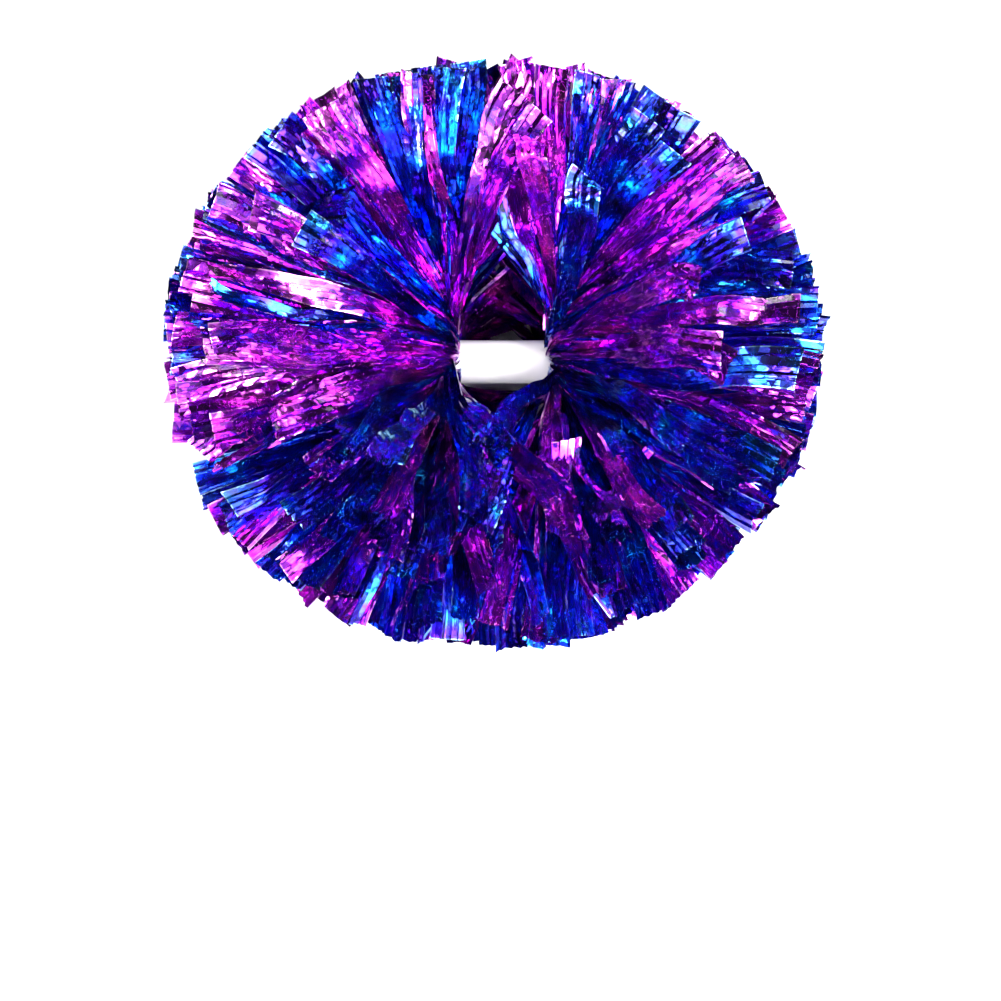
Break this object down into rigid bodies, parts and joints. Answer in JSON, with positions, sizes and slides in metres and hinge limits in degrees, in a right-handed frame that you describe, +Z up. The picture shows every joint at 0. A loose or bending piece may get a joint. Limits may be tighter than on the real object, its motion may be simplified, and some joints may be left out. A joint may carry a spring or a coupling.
{
  "type": "cheer pom pom",
  "caption": "Cheerleading pom pom with a middle tube handle between two heads of blue and magenta metallic film streamers, fluffed into one flattened ball.",
  "frame": {"origin": "on the rest surface, under the middle of the handle tube", "axes": "+X along the handle tube, +Z up, -Y towards the viewer"},
  "size_m": [0.303, 0.2844, 0.1705],
  "materials": {
    "handle_plastic": "off-white extruded PVC, satin to semi-gloss",
    "fixing_tape": "pale double-sided tape",
    "cable_tie_nylon": "natural translucent nylon, satin",
    "film_blue": "royal blue metallised plastic film, mirror-like and crinkled",
    "film_magenta": "magenta metallised plastic film, mirror-like and crinkled"
  },
  "bodies": {
    "root": {"handle_tube": "handle_plastic", "left_fixing_tape": "fixing_tape", "left_cable_tie": "cable_tie_nylon", "left_skirt_01": "film_blue", "left_skirt_02": "film_magenta", "left_skirt_03": "film_blue", "left_skirt_04": "film_magenta", "left_skirt_05": "film_blue", "left_skirt_06": "film_magenta", "left_skirt_07": "film_blue", "left_skirt_08": "film_magenta", "left_skirt_09": "film_blue", "left_skirt_10": "film_magenta", "left_skirt_11": "film_blue", "left_skirt_12": "film_magenta", "right_fixing_tape": "fixing_tape", "right_cable_tie": "cable_tie_nylon", "right_skirt_01": "film_blue", "right_skirt_02": "film_magenta", "right_skirt_03": "film_blue", "right_skirt_04": "film_magenta", "right_skirt_05": "film_blue", "right_skirt_06": "film_magenta", "right_skirt_07": "film_blue", "right_skirt_08": "film_magenta", "right_skirt_09": "film_blue", "right_skirt_10": "film_magenta", "right_skirt_11": "film_blue", "right_skirt_12": "film_magenta"}
  },
  "joints": []
}
